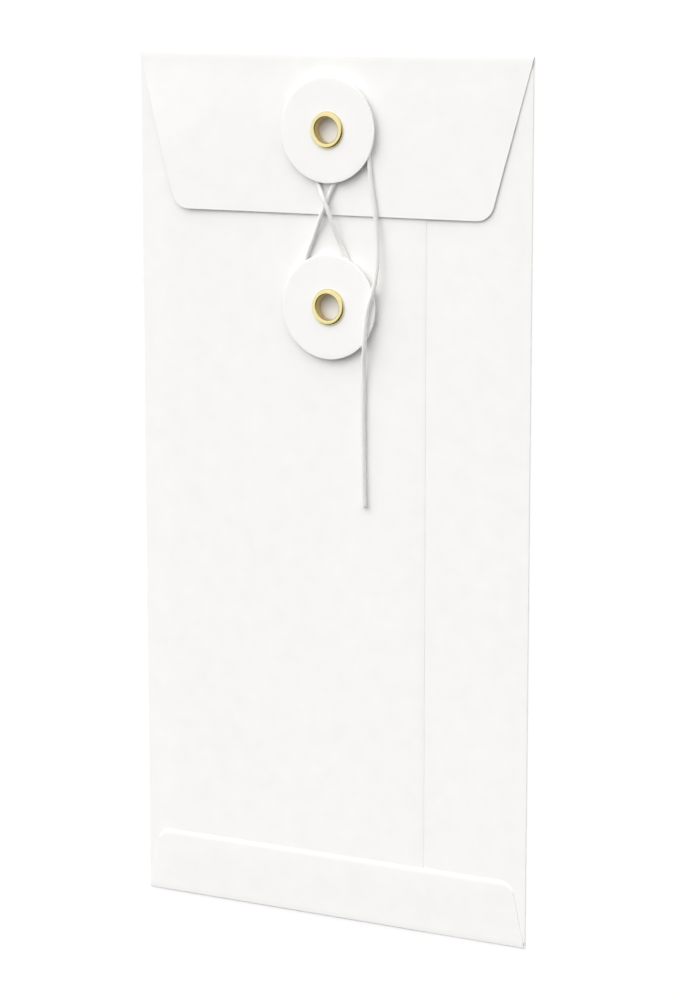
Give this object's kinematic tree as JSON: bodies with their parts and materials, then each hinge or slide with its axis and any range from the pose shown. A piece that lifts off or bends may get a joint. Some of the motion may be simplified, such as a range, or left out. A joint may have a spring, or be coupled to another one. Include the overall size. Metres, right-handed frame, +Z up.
{
  "type": "paper envelope",
  "caption": "Flat paper envelope whose top flap is tied shut by a cotton string wound round card discs held by brass eyelets.",
  "frame": {"origin": "middle of the back panel's underside, on the surface the envelope lies on", "axes": "+X across the envelope, +Y along it from the bottom fold towards the top fold, +Z up out of the front"},
  "size_m": [0.11, 0.22, 0.0038],
  "materials": {
    "paper": "matte",
    "card": "matte",
    "brass": "polished",
    "cotton": "matte"
  },
  "bodies": {
    "root": {"envelope_sheet": "paper", "upper_disc": "card", "lower_disc": "card", "upper_eyelet": "brass", "lower_eyelet": "brass", "string": "cotton"}
  },
  "joints": []
}
